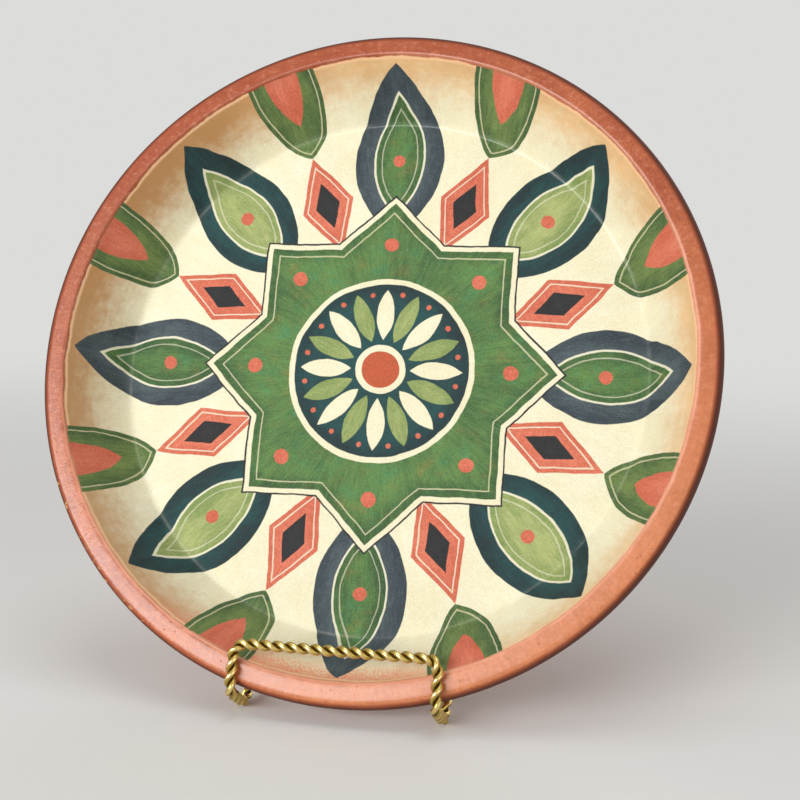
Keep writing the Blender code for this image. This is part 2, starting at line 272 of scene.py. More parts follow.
def start_group(name, inputs, outputs):
    """A shader node group with named sockets, and the ends that its nodes join."""
    tree = bpy.data.node_groups.new(name, "ShaderNodeTree")
    for socket, kind in inputs:
        tree.interface.new_socket(socket, in_out="INPUT", socket_type="NodeSocket" + kind)
    for socket, kind in outputs:
        tree.interface.new_socket(socket, in_out="OUTPUT", socket_type="NodeSocket" + kind)
    return tree, tree.nodes.new("NodeGroupInput").outputs, tree.nodes.new("NodeGroupOutput").inputs


def start_material(name):
    """A new material with its node tree and its Principled shader."""
    material = bpy.data.materials.new(name)
    material.use_nodes = True
    return material, material.node_tree, material.node_tree.nodes["Principled BSDF"]


# Tarnished brass: bright where it is rubbed and paler still along the crests as a painted highlight,
# brown in the grooves, with fine drawing marks
brass_tarnish_and_highlight, given, result = start_group(
    "tarnished_brass_with_highlights",
    [("Crest", "Float"), ("Polished Highlight", "Color"), ("Bright", "Color"), ("Dull", "Color")],
    [("Color", "Color"), ("Roughness", "Float"), ("Height", "Float")],
)
place = add_node(brass_tarnish_and_highlight, "TexCoord").outputs["Object"]
blotches = noise(brass_tarnish_and_highlight, place, 110.0, detail=4.0, roughness=0.6)
marks = noise(brass_tarnish_and_highlight, place, 1500.0, detail=2.0)
rubbed_and_highlight = fade(brass_tarnish_and_highlight, weigh(brass_tarnish_and_highlight, (given["Crest"], 0.9), (blotches, 0.5)), 0.1, 0.85)
# Palest brass on the very crest of each strand: partly rubbed polish, partly a painted highlight
polish_and_highlight = fade(brass_tarnish_and_highlight, weigh(brass_tarnish_and_highlight, (given["Crest"], 1.0), (blotches, 0.25)), 0.94, 1.12)
worn_brass = blend(brass_tarnish_and_highlight, rubbed_and_highlight, given["Dull"], given["Bright"])
brass_tarnish_and_highlight.links.new(blend(brass_tarnish_and_highlight, polish_and_highlight, worn_brass, given["Polished Highlight"]), result["Color"])
smoothed = weigh(brass_tarnish_and_highlight, (rubbed_and_highlight, -0.08), (polish_and_highlight, -0.1), (marks, 0.08), (1.0, 0.36))
brass_tarnish_and_highlight.links.new(smoothed, result["Roughness"])
brass_tarnish_and_highlight.links.new(marks, result["Height"])

POLISHED_HIGHLIGHT_BRASS = paint(236, 213, 146)
BRIGHT_BRASS = paint(192, 166, 90)
DULL_BRASS = paint(122, 98, 44)
EVEN_WEAR = 0.36


def make_brass(name, crest_attribute, bright, bump):
    """Brass, tarnished and with a painted highlight along its crests, which follow a stored attribute
    where the piece has one.
    """
    material, tree, shader = start_material(name)
    crest = EVEN_WEAR
    if crest_attribute:
        crest = add_node(tree, "Attribute", attribute_name=crest_attribute).outputs["Fac"]
    tones = {"Crest": crest, "Polished Highlight": POLISHED_HIGHLIGHT_BRASS, "Bright": bright, "Dull": DULL_BRASS}
    wear = add_node(tree, "Group", tones, node_tree=brass_tarnish_and_highlight)
    marked = {"Height": wear.outputs["Height"], "Distance": bump, "Strength": 0.6}
    relief = add_node(tree, "Bump", marked)
    shader.inputs["Metallic"].default_value = 1.0
    tree.links.new(wear.outputs["Color"], shader.inputs["Base Color"])
    tree.links.new(wear.outputs["Roughness"], shader.inputs["Roughness"])
    tree.links.new(relief.outputs["Normal"], shader.inputs["Normal"])
    return material


wire_brass = make_brass("twisted_wire_brass", "crest", BRIGHT_BRASS, 0.015 * MM)

half_frame = [
    ((FRAME_HALF_WIDTH, LIP_BAR_UP, LIP_OUT), BEND_RADIUS),
    ((FRAME_HALF_WIDTH, LIP_BOTTOM_UP, LIP_OUT), BEND_RADIUS),
    ((FRAME_HALF_WIDTH, HEEL_UP, HEEL_OUT), BEND_RADIUS),
    ((FRAME_HALF_WIDTH, KNEE_UP, UPRIGHT_OUT), KNEE_RADIUS),
    ((FRAME_HALF_WIDTH, ARCH_TOP_UP, UPRIGHT_OUT), ARCH_RADIUS),
]
other_half = [((-across, up, out), radius) for (across, up, out), radius in reversed(half_frame)]
frame_stations = [((0.0, LIP_BAR_UP, LIP_OUT), 0.0)] + half_frame + other_half

for letter, way in (("a", 1.0), ("b", -1.0)):
    front_strand = make_strand(
        "front_strand_" + letter, frame_stations, seat, True, FRONT_TURNS, (0.0, 0.0, way)
    )
    front_strand.data.materials.append(wire_brass)
    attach(front_strand, "front_frame")
    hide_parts("front_wire_" + letter)

# Hinge lugs
# Short brass saddles soldered to the backs of the uprights. Each has an ear, rounded at its end and
# drilled for the hinge rod.
LUG_HEIGHT = 6.0 * MM
LUG_WALL = 1.2 * MM
LUG_EAR_THICKNESS = 2.6 * MM
LUG_EAR_MARGIN = 3.2 * MM
LUG_EAR_ROUNDING = 2.6 * MM
SADDLE_SIDES = 56
BORE_SIDES = 40
ROD_RADIUS = 1.5 * MM
ROD_CLEARANCE = 0.25 * MM
EASED_EDGE = 0.22 * MM
END_MARGIN = 0.1 * MM
FITTING_BRASS = paint(206, 168, 88)


def join_or_cut(piece, tool, operation):
    """Join a second shape to a piece, or cut it away, and remove the second shape."""
    step = piece.modifiers.new("joined_or_cut", "BOOLEAN")
    step.operation = operation
    step.object = tool
    choose(piece)
    bpy.ops.object.modifier_apply(modifier=step.name)
    bpy.data.objects.remove(tool, do_unlink=True)


def drill(piece, radius, start, end):
    """Bore a round hole through a piece from one point to another."""
    run = Vector(end) - Vector(start)
    bpy.ops.mesh.primitive_cylinder_add(
        vertices=BORE_SIDES,
        radius=radius,
        depth=run.length,
        location=(Vector(start) + Vector(end)) / 2.0,
        rotation=run.to_track_quat("Z", "Y").to_euler(),
    )
    join_or_cut(piece, bpy.context.object, "DIFFERENCE")


def add_block(name, size, centre):
    """A plain block at its size and place, ready to be shaped."""
    bpy.ops.mesh.primitive_cube_add(size=1.0, location=centre)
    block = bpy.context.object
    block.name = name
    block.scale = size
    bpy.ops.object.transform_apply(location=True, rotation=True, scale=True)
    return block


def round_edges(piece, wanted, radius, segments):
    """Bevel the edges that a test picks out."""
    choose(piece)
    bpy.ops.object.mode_set(mode="EDIT")
    bpy.ops.mesh.select_all(action="DESELECT")
    bpy.ops.object.mode_set(mode="OBJECT")
    for edge in piece.data.edges:
        ends = [piece.data.vertices[index].co for index in edge.vertices]
        edge.select = wanted(*ends)
    bpy.ops.object.mode_set(mode="EDIT")
    bpy.ops.mesh.select_mode(type="EDGE")
    bpy.ops.mesh.bevel(offset=radius, segments=segments, affect="EDGES", clamp_overlap=False)
    bpy.ops.object.mode_set(mode="OBJECT")


def finish_fitting(piece, placement, material):
    """Ease a fitting's edges, put it in its place and give it its brass."""
    ease = piece.modifiers.new("eased_edges", "BEVEL")
    ease.width = EASED_EDGE
    ease.segments = 2
    ease.limit_method = "ANGLE"
    ease.angle_limit = math.radians(40.0)
    choose(piece)
    bpy.ops.object.modifier_apply(modifier=ease.name)
    piece.matrix_world = placement
    bpy.ops.object.transform_apply(location=True, rotation=True, scale=True)
    bpy.ops.object.shade_smooth_by_angle(angle=math.radians(35.0))
    piece.data.materials.append(material)


fitting_brass = make_brass("fitting_brass", "", FITTING_BRASS, 0.03 * MM)

for word, side in (("left", -1.0), ("right", 1.0)):
    upright = Vector((side * FRAME_HALF_WIDTH, HINGE_UP, UPRIGHT_OUT))
    half_height = Vector((0.0, LUG_HEIGHT / 2.0, 0.0))
    saddle_radius = WIRE_RADIUS + FIT_GAP + LUG_WALL
    ear_reach = HINGE_BEHIND_UPRIGHT + LUG_EAR_MARGIN
    ear_root = WIRE_RADIUS + FIT_GAP + LUG_WALL / 2.0
    ear_size = (LUG_EAR_THICKNESS, LUG_HEIGHT, ear_reach - ear_root)
    ear_middle = (0.0, 0.0, -(ear_reach + ear_root) / 2.0)
    lug = add_block("hinge_lug_" + word + "_saddle", ear_size, ear_middle)
    ear_end = -ear_reach + END_MARGIN
    round_edges(
        lug,
        lambda a, b: max(a.z, b.z) < ear_end and abs(a.x - b.x) > MM,
        LUG_EAR_ROUNDING,
        segments=6,
    )
    bpy.ops.mesh.primitive_cylinder_add(
        vertices=SADDLE_SIDES,
        radius=saddle_radius,
        depth=LUG_HEIGHT,
        rotation=(math.radians(90.0), 0.0, 0.0),
    )
    join_or_cut(lug, bpy.context.object, "UNION")
    drill(lug, WIRE_RADIUS + FIT_GAP, -2.0 * half_height, 2.0 * half_height)
    choose(lug)
    bpy.ops.object.mode_set(mode="EDIT")
    cut_flat((0.0, 0.0, 1.0))
    bpy.ops.object.mode_set(mode="OBJECT")
    rod_hole = Vector((0.0, 0.0, -HINGE_BEHIND_UPRIGHT))
    past_ear = Vector((LUG_EAR_THICKNESS, 0.0, 0.0))
    drill(lug, ROD_RADIUS + ROD_CLEARANCE, rod_hole - past_ear, rod_hole + past_ear)
    finish_fitting(lug, seat @ Matrix.Translation(upright), fitting_brass)
    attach(lug, "front_frame")
    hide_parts("hinge_lug_" + word)

# Hinge rod
# A brass rod through both lugs and both knuckles, headed over at each end so that it stays in.
ROD_HALF_LENGTH = FRAME_HALF_WIDTH + LUG_EAR_THICKNESS / 2.0 + FIT_GAP
ROD_HEAD_RADIUS = 2.7 * MM
ROD_HEAD_LENGTH = 1.4 * MM
ROD_SIDES = 40


def grow_end(run, scale):
    """Extrude the selected end of a rod along Z and then widen or narrow it."""
    bpy.ops.mesh.extrude_region_move(TRANSFORM_OT_translate={"value": (0.0, 0.0, run)})
    if scale != 1.0:
        bpy.ops.transform.resize(value=(scale, scale, 1.0), center_override=(0.0, 0.0, 0.0))


def make_rod(name, half_length, radius, head_radius, head_length, placement):
    """A round rod along X, with a head at each end where one is wanted."""
    bpy.ops.mesh.primitive_circle_add(vertices=ROD_SIDES, radius=head_radius, fill_type="NGON")
    rod = bpy.context.object
    rod.name = name
    bpy.ops.object.mode_set(mode="EDIT")
    bpy.ops.mesh.select_all(action="SELECT")
    bpy.ops.transform.translate(value=(0.0, 0.0, -half_length - head_length))
    if head_length:
        grow_end(head_length, 1.0)
        grow_end(0.0, radius / head_radius)
    grow_end(2.0 * half_length, 1.0)
    if head_length:
        grow_end(0.0, head_radius / radius)
        grow_end(head_length, 1.0)
    bpy.ops.mesh.select_all(action="SELECT")
    bpy.ops.mesh.normals_make_consistent(inside=False)
    bpy.ops.object.mode_set(mode="OBJECT")
    finish_fitting(rod, placement @ Matrix.Rotation(math.radians(90.0), 4, "Y"), fitting_brass)
    return rod


hinge_rod_place = Matrix.Translation(hinge_place)
hinge_rod = make_rod(
    "hinge_rod_headed", ROD_HALF_LENGTH, ROD_RADIUS, ROD_HEAD_RADIUS, ROD_HEAD_LENGTH, hinge_rod_place
)
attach(hinge_rod, "front_frame")
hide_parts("hinge_rod")

# Rear leg
# Two brass strands, twisted like the front frame's and bent into a U that stands on its closed end.
# The ends of the U are soldered into the knuckles.
REAR_LEAN = math.radians(12.0)
REAR_TURNS = 25
REAR_TOP_HALF_WIDTH = 34.5 * MM
REAR_FOOT_HALF_WIDTH = 47.0 * MM
REAR_STRAIGHT_TOP = 16.0 * MM
REAR_BEND_RADIUS = 8.0 * MM
REAR_SPLAY_RADIUS = 30.0 * MM
KNUCKLE_SOLID_LENGTH = 4.5 * MM
FOOT_FLAT = 0.5 * MM

leg_frame = Matrix.Translation(hinge_place) @ Matrix.Rotation(REAR_LEAN, 4, "X")
foot_drop = (hinge_place.z - WIRE_RADIUS + FOOT_FLAT) / math.cos(REAR_LEAN)
half_leg = [
    ((REAR_TOP_HALF_WIDTH, 0.0, -KNUCKLE_SOLID_LENGTH - STRAND_RADIUS), 0.0),
    ((REAR_TOP_HALF_WIDTH, 0.0, -REAR_STRAIGHT_TOP), REAR_SPLAY_RADIUS),
    ((REAR_FOOT_HALF_WIDTH, 0.0, -foot_drop), REAR_BEND_RADIUS),
]
other_half = [((-across, out, up), radius) for (across, out, up), radius in reversed(half_leg)]
leg_stations = half_leg + other_half

for letter, way in (("a", 1.0), ("b", -1.0)):
    rear_strand = make_strand(
        "rear_strand_" + letter, leg_stations, leg_frame, False, REAR_TURNS, (0.0, way, 0.0)
    )
    rear_strand.data.materials.append(wire_brass)
    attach(rear_strand, "rear_leg")
    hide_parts("rear_wire_" + letter)

# Rear knuckles
# Brass blocks that turn on the hinge rod. Each takes one end of the leg in a socket below, and the
# stop bar in a hole above the rod.
KNUCKLE_WIDTH = 7.4 * MM
KNUCKLE_RADIUS = 3.7 * MM
KNUCKLE_ROUNDING = 0.98 * KNUCKLE_RADIUS
KNUCKLE_SOCKET_LENGTH = 14.0 * MM
PAST_MOUTH = 2.0 * MM
FOLD_ANGLE = PLATE_LEAN + REAR_LEAN
STOP_REACH = (HINGE_BEHIND_UPRIGHT - WIRE_RADIUS - ROD_RADIUS - FIT_GAP) / math.sin(FOLD_ANGLE)

for word, side in (("left", -1.0), ("right", 1.0)):
    top = STOP_REACH + KNUCKLE_RADIUS
    knuckle_size = (KNUCKLE_WIDTH, 2.0 * KNUCKLE_RADIUS, top + KNUCKLE_SOCKET_LENGTH)
    knuckle_middle = (0.0, 0.0, (top - KNUCKLE_SOCKET_LENGTH) / 2.0)
    knuckle = add_block("knuckle_" + word + "_block", knuckle_size, knuckle_middle)
    top_end = top - END_MARGIN
    round_edges(
        knuckle,
        lambda a, b: min(a.z, b.z) > top_end and abs(a.x - b.x) > MM,
        KNUCKLE_ROUNDING,
        segments=8,
    )
    past_block = Vector((KNUCKLE_WIDTH, 0.0, 0.0))
    stop_hole = Vector((0.0, 0.0, STOP_REACH))
    socket_mouth = (0.0, 0.0, -KNUCKLE_SOCKET_LENGTH - PAST_MOUTH)
    drill(knuckle, ROD_RADIUS + ROD_CLEARANCE, -past_block, past_block)
    drill(knuckle, ROD_RADIUS + ROD_CLEARANCE, stop_hole - past_block, stop_hole + past_block)
    drill(knuckle, WIRE_RADIUS + FIT_GAP, socket_mouth, (0.0, 0.0, -KNUCKLE_SOLID_LENGTH))
    knuckle_place = leg_frame @ Matrix.Translation((side * REAR_TOP_HALF_WIDTH, 0.0, 0.0))
    finish_fitting(knuckle, knuckle_place, fitting_brass)
    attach(knuckle, "rear_leg")
    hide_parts("rear_knuckle_" + word)

# Stop bar
# A plain brass rod held by both knuckles. It meets the backs of the uprights when the leg is open.
STOP_BAR_HALF_LENGTH = 46.5 * MM
stop_bar_place = leg_frame @ Matrix.Translation((0.0, 0.0, STOP_REACH))
stop_rod = make_rod("stop_rod", STOP_BAR_HALF_LENGTH, ROD_RADIUS, ROD_RADIUS, 0.0, stop_bar_place)
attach(stop_rod, "rear_leg")
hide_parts("stop_bar")

# Plate
# One turned and fired clay body with a flat well, a steep wall and a rolled rim, painted by hand and
# varnished on the face and the rim. The back is bare clay with its turning marks.
PLATE_SIDES = 96
WELL_RADIUS = 119.85 * MM
BAND_INNER_RADIUS = 139.0 * MM
RIM_RADIUS = 150.0 * MM
BAND_SHIFT = Vector((-0.2, 0.3, 0.0)) * MM
RIM_WAVE = 0.3 * MM
RIM_WAVE_PARTS = ((2.0, 0.7), (5.0, 0.3))
PAINT_ENDS_RADIUS = 144.6 * MM
PAINT_ENDS_SLOPE = -0.05

# Rings of the section, from the middle of the face to the middle of the base: radius, height, shift
plate_rings = [
    (20.0, -29.64, 0.0),
    (60.0, -29.64, 0.0),
    (100.0, -29.64, 0.0),
    (116.6, -29.64, 0.0),
    (119.4, -29.5, 0.0),
    (121.0, -28.0, 0.0),
    (123.0, -25.0, 0.1),
    (131.0, -13.05, 0.5),
    (137.0, -4.05, 1.0),
    (139.0, -1.0, 1.0),
    (139.4, -0.25, 1.0),
    (139.75, 0.3, 1.0),
    (140.2, 0.66, 1.0),
    (140.9, 0.85, 0.9),
    (143.0, 0.9, 0.7),
    (145.5, 0.9, 0.4),
    (146.7, 0.88, 0.3),
    (147.6, 0.7, 0.2),
    (148.5, 0.12, 0.1),
    (149.3, -0.85, 0.0),
    (149.9, -2.3, 0.0),
    (150.25, -4.2, 0.0),
    (150.25, -6.4, 0.0),
    (149.9, -8.6, 0.0),
    (148.8, -10.6, 0.0),
    (146.4, -11.4, 0.0),
    (143.8, -11.6, 0.0),
    (141.2, -12.3, 0.0),
    (138.9, -14.6, 0.0),
    (130.8, -26.0, 0.0),
    (125.3, -34.2, 0.0),
    (122.6, -36.6, 0.0),
    (120.4, -37.5, 0.0),
    (117.6, -37.64, 0.0),
    (110.0, -37.64, 0.0),
    (60.0, -37.64, 0.0),
    (20.0, -37.64, 0.0),
]
first_radius, first_out = plate_rings[0][:2]
bpy.ops.mesh.primitive_circle_add(vertices=PLATE_SIDES, radius=first_radius * MM, fill_type="TRIFAN")
plate = bpy.context.object
plate.name = "painted_plate"
bpy.ops.object.mode_set(mode="EDIT")
bpy.ops.mesh.select_all(action="SELECT")
bpy.ops.transform.translate(value=(0.0, 0.0, first_out * MM))
bpy.ops.mesh.region_to_loop()
for (last_radius, last_out, last_shift), (radius, out, shift) in zip(plate_rings, plate_rings[1:]):
    scale = radius / last_radius
    aside = (shift - last_shift * scale) * BAND_SHIFT
    bpy.ops.mesh.extrude_edges_move()
    bpy.ops.transform.resize(value=(scale, scale, 1.0), center_override=(0.0, 0.0, 0.0))
    bpy.ops.transform.translate(value=aside + Vector((0.0, 0.0, (out - last_out) * MM)))
bpy.ops.mesh.extrude_edges_move()
bpy.ops.mesh.merge(type="CENTER")
bpy.ops.mesh.select_all(action="SELECT")
bpy.ops.mesh.normals_make_consistent(inside=False)
bpy.ops.object.mode_set(mode="OBJECT")
smooth = plate.modifiers.new("smoothed", "SUBSURF")
smooth.levels = 2
bpy.ops.object.modifier_apply(modifier=smooth.name)

# A hand turned rim is never quite true: it waves a little out of its plane
for vertex in plate.data.vertices:
    radius = math.hypot(vertex.co.x, vertex.co.y)
    turn = math.atan2(vertex.co.x, vertex.co.y)
    share = min(1.0, max(0.0, (radius - WELL_RADIUS) / (RIM_RADIUS - WELL_RADIUS)))
    wave = sum(part * math.sin(times * turn) for times, part in RIM_WAVE_PARTS)
    vertex.co.z += share * RIM_WAVE * wave

# The plate's own frame in millimetres, read from where a point lies on the finished object
plate_frame, _, result = start_group("plate_frame", [], [("Place", "Vector"), ("Radius", "Float")])
FLAT = (1.0, 1.0, 0.0)
to_seat = seat.inverted()
object_place = add_node(plate_frame, "TexCoord").outputs["Object"]
turned = add_node(plate_frame, "Mapping", {"Vector": object_place})
turned.inputs["Location"].default_value = to_seat.translation / MM
turned.inputs["Rotation"].default_value = to_seat.to_euler()
turned.inputs["Scale"].default_value = (1.0 / MM, 1.0 / MM, 1.0 / MM)
flattened = add_node(plate_frame, "VectorMath", {0: turned.outputs[0], 1: FLAT}, operation="MULTIPLY")
from_axis = add_node(plate_frame, "VectorMath", {0: flattened.outputs[0]}, operation="LENGTH")
plate_frame.links.new(turned.outputs[0], result["Place"])
plate_frame.links.new(from_axis.outputs["Value"], result["Radius"])

# Brushwork: a colour brushed on between its deep and its light tone, deeper towards a shape's edge
brush_fields = [(field, "Float") for field in ("Mottle", "Strokes", "Bristles", "Grain", "Edge")]
brush_tones = [("Deep", "Color"), ("Light", "Color")]
brushwork, given, result = start_group("brushwork", brush_fields + brush_tones, [("Color", "Color")])
inward = fade(brushwork, given["Edge"], -0.5, -9.0)
streaks = weigh(brushwork, (given["Strokes"], 0.55), (given["Bristles"], 0.6), (1.0, -0.3))
lightness = weigh(brushwork, (given["Mottle"], 0.9), (streaks, 1.0), (inward, 0.25), (1.0, -0.46))
brushed = blend(brushwork, fade(brushwork, lightness, 0.0, 0.9), given["Deep"], given["Light"])
skipped = formula(brushwork, "MULTIPLY", fade(brushwork, given["Grain"], 0.5, 0.8), 0.55)
toothed = blend(brushwork, skipped, brushed, given["Light"])
paleness = add_node(brushwork, "RGBToBW", {"Color": given["Light"]}).outputs[0]
tooth = weigh(brushwork, (fade(brushwork, paleness, 0.6, 0.15), 0.8), (1.0, 0.4))
grain_depth = weigh(brushwork, (given["Grain"], 1.0), (1.0, -0.5))
grained = formula(brushwork, "MULTIPLY_ADD", grain_depth, tooth, 1.0)
grain_tone = add_node(brushwork, "CombineColor", {"Red": grained, "Green": grained, "Blue": grained})
grainy = blend(brushwork, 1.0, toothed, grain_tone.outputs[0], "MULTIPLY")
brushwork.links.new(grainy, result["Color"])

# Painted and varnished face
CREAM = paint(232, 223, 186)
PALE_CREAM = paint(242, 239, 214)
BROWN = paint(176, 128, 80)
TAN = paint(206, 156, 98)
PEACH = paint(228, 177, 115)
EDGE_PEACH = paint(245, 195, 150)
DEEP_GREEN = paint(44, 77, 39)
LEAF_GREEN = paint(100, 138, 74)
EMERALD = paint(70, 144, 98)
OLIVE = paint(132, 130, 68)
SAGE = paint(118, 140, 76)
PALE_SAGE = paint(184, 190, 124)
SLATE = paint(38, 50, 58)
PALE_SLATE = paint(84, 98, 102)
DEEP_TEAL = paint(8, 30, 34)
TEAL = paint(26, 76, 76)
CORAL = paint(196, 92, 66)
PALE_CORAL = paint(226, 132, 104)
RUST = paint(184, 84, 44)
BLACK = paint(18, 19, 20)
SOOT = paint(44, 46, 46)
RIM_DEEP = paint(148, 65, 31)
RIM_RED = paint(148, 57, 16)
RIM_LIGHT = paint(210, 119, 71)
RIM_ORANGE = paint(226, 144, 92)
RIM_PALE = paint(232, 160, 130)
RIM_BURNT = paint(146, 64, 22)
RIM_SHADED = paint(86, 34, 12)
WORN_CLAY = paint(216, 168, 104)
SOFT_EDGE = 0.2
HAND_SWAY = 2.4
BAND_WOBBLE = 1.6
INSIDE_AN_EDGE = -4.0

painted_clay, tree, shader = start_material("painted_clay_face")
own_frame = add_node(tree, "Group", node_tree=plate_frame)
place = own_frame.outputs["Place"]
mottle = noise(tree, place, 0.045, detail=5.0, roughness=0.6)
grain = noise(tree, place, 1.7, detail=2.0, roughness=0.7)
sway = add_node(tree, "TexNoise", {"Vector": place, "Scale": 0.06, "Detail": 3.0}).outputs["Color"]
sway_reach = (HAND_SWAY, HAND_SWAY, 0.0)
half_back = (-HAND_SWAY / 2.0, -HAND_SWAY / 2.0, 0.0)
swayed = add_node(tree, "VectorMath", {0: sway, 1: sway_reach, 2: place}, operation="MULTIPLY_ADD")
drawn = add_node(tree, "VectorMath", {0: swayed.outputs[0], 1: half_back}, operation="ADD")
spread = add_node(tree, "SeparateXYZ", {"Vector": drawn.outputs[0]})
across_face = spread.outputs["X"]
up_face = spread.outputs["Y"]
flat = add_node(tree, "CombineXYZ", {"X": across_face, "Y": up_face}).outputs[0]
reach = add_node(tree, "VectorMath", {0: flat}, operation="LENGTH").outputs["Value"]
bearing = formula(tree, "ARCTAN2", across_face, up_face)
heading = add_node(tree, "VectorMath", {0: flat}, operation="NORMALIZE").outputs[0]


def stroke_noise(around, along):
    """Brush strokes in polar form: cells round the plate, and cells along its radius."""
    ring = add_node(tree, "VectorMath", {0: heading, "Scale": around}, operation="SCALE").outputs[0]
    outward = add_node(tree, "CombineXYZ", {"Z": formula(tree, "MULTIPLY", reach, along)}).outputs[0]
    mixed = add_node(tree, "VectorMath", {0: ring, 1: outward}, operation="ADD").outputs[0]
    return noise(tree, mixed, 1.0, detail=3.0, roughness=0.6)


outward_strokes = stroke_noise(around=26.0, along=0.06)
round_strokes = stroke_noise(around=7.0, along=0.9)
bristles = stroke_noise(around=110.0, along=0.22)


def folded(fold, offset):
    """Along and across one repeat of a rosette with the given number of repeats."""
    half_repeat = math.pi / fold
    turned_by = formula(tree, "ADD", bearing, offset)
    aside = formula(tree, "PINGPONG", turned_by, half_repeat)
    along = formula(tree, "MULTIPLY", reach, formula(tree, "COSINE", aside))
    across = formula(tree, "MULTIPLY", reach, formula(tree, "SINE", aside))
    return along, across


def every_other(fold, offset):
    """1 on every other repeat of a rosette, and 0 between them."""
    repeat = math.tau / fold
    count = formula(tree, "FLOOR", formula(tree, "MULTIPLY_ADD", bearing, 1.0 / repeat, offset))
    return formula(tree, "FLOORED_MODULO", count, 2.0)


def petal(axes, middle, half_length, half_width):
    """Distance outside a pointed petal, between two arcs."""
    along, across = axes
    arc_radius = (half_length ** 2 + half_width ** 2) / (2.0 * half_width)
    from_middle = formula(tree, "SUBTRACT", along, middle)
    from_arc = formula(tree, "ADD", across, arc_radius - half_width)
    corner = add_node(tree, "CombineXYZ", {"X": from_middle, "Y": from_arc}).outputs[0]
    length = add_node(tree, "VectorMath", {0: corner}, operation="LENGTH").outputs["Value"]
    return formula(tree, "SUBTRACT", length, arc_radius)


def lozenge(axes, middle, half_length, half_width):
    """Distance outside a diamond with its long axis pointing outward."""
    along, across = axes
    slant = math.hypot(half_length, half_width)
    from_middle = formula(tree, "ABSOLUTE", formula(tree, "SUBTRACT", along, middle))
    shares = (from_middle, half_width / slant), (across, half_length / slant)
    return weigh(tree, *shares, (1.0, -half_length * half_width / slant))


def dot(axes, along, radius):
    """Distance outside a round dot in the middle of each repeat."""
    centre = (along, 0.0, 0.0)
    here = add_node(tree, "CombineXYZ", {"X": axes[0], "Y": axes[1]}).outputs[0]
    away = add_node(tree, "VectorMath", {0: here, 1: centre}, operation="DISTANCE").outputs["Value"]
    return formula(tree, "SUBTRACT", away, radius)


def disc(radius):
    """Distance outside a disc about the plate's middle."""
    return formula(tree, "SUBTRACT", reach, radius)


def line(distance, from_edge, half_width):
    """Distance outside a brushed line that follows a shape's edge."""
    uneven = weigh(tree, (mottle, 0.5), (1.0, half_width - 0.25))
    from_line = formula(tree, "ABSOLUTE", formula(tree, "SUBTRACT", distance, from_edge))
    return formula(tree, "SUBTRACT", from_line, uneven)


def brushed_colour(deep, light, strokes, edge):
    """One colour of the palette, brushed on."""
    inputs = {
        "Mottle": mottle,
        "Strokes": strokes,
        "Bristles": bristles,
        "Grain": grain,
        "Edge": edge,
        "Deep": deep,
        "Light": light,
    }
    return add_node(tree, "Group", inputs, node_tree=brushwork).outputs["Color"]


def lay_on(under, distance, deep, light, strokes, share=1.0):
    """Paint one shape over what is there."""
    mask = fade(tree, distance, SOFT_EDGE, -SOFT_EDGE)
    if share != 1.0:
        mask = formula(tree, "MULTIPLY", mask, share)
    return blend(tree, mask, under, brushed_colour(deep, light, strokes, distance))


def tint(tree, under, over, mask, strength):
    """Lay a plain colour over what is there, at part of a mask's strength."""
    return blend(tree, formula(tree, "MULTIPLY", mask, strength), under, over)


eight = folded(8, offset=0.0)
between_eight = folded(8, offset=math.pi / 8.0)
sixteen = folded(16, offset=0.0)
between_sixteen = folded(16, offset=math.pi / 16.0)
odd_petal = every_other(8, offset=0.5)
odd_small_petal = every_other(16, offset=0.5)

# The rim's inner edge, brushed by hand, so it wobbles a little and isn't quite centred
plane = add_node(tree, "VectorMath", {0: place, 1: FLAT}, operation="MULTIPLY").outputs[0]
to_centre = add_node(tree, "VectorMath", {0: plane, 1: BAND_SHIFT / MM}, operation="DISTANCE")
from_band = to_centre.outputs["Value"]
wobble = noise(tree, place, 0.09, detail=3.0)
mean_radius = BAND_INNER_RADIUS / MM - BAND_WOBBLE / 2.0
inside_band = weigh(tree, (from_band, -1.0), (wobble, BAND_WOBBLE), (1.0, mean_radius))

# Ground: cream, dabbed with tan and peach up the wall, with terracotta sponged under the lower rim and
# a thin pale stroke left along the rim
ground = brushed_colour(CREAM, PALE_CREAM, outward_strokes, INSIDE_AN_EDGE)
blotches = noise(tree, place, 0.1, detail=6.0, roughness=0.7)
upper_side = fade(tree, up_face, -110.0, 60.0)
# On the left wall the tan reaches further in and turns browner: partly the ground's own tan, partly
# painted shade
left_wall_tan_and_shade = fade(tree, across_face, -25.0, -85.0)
dabs = noise(tree, place, 0.25, detail=3.0, roughness=0.6)
dabbed = weigh(tree, (blotches, 10.0), (dabs, 9.0), (round_strokes, 4.0), (1.0, -6.5))
warm_reach = weigh(tree, (reach, 1.0), (dabbed, 1.0), (upper_side, 3.5), (left_wall_tan_and_shade, 3.0))
warm_share = weigh(tree, (upper_side, 0.15), (left_wall_tan_and_shade, 0.15), (1.0, 0.7))
warmth = formula(tree, "MULTIPLY", fade(tree, warm_reach, 131.0, 148.0), warm_share)
tan_wall = blend(tree, fade(tree, mottle, 0.3, 0.7), TAN, PEACH)
tan_wall = tint(tree, tan_wall, BROWN, left_wall_tan_and_shade, 0.75)
ground = blend(tree, warmth, ground, tan_wall)
sponge = fade(tree, weigh(tree, (grain, 1.0), (fade(tree, reach, 124.0, 142.0), 0.36)), 0.7, 0.84)
low_left = fade(tree, across_face, 50.0, 20.0)
low_side = formula(tree, "MULTIPLY", fade(tree, up_face, -100.0, -128.0), low_left)
ground = tint(tree, ground, PALE_CORAL, sponge, low_side)
last_stroke = fade(tree, line(inside_band, from_edge=0.05, half_width=0.38), 0.3, -0.3)
ground = blend(tree, last_stroke, ground, EDGE_PEACH)

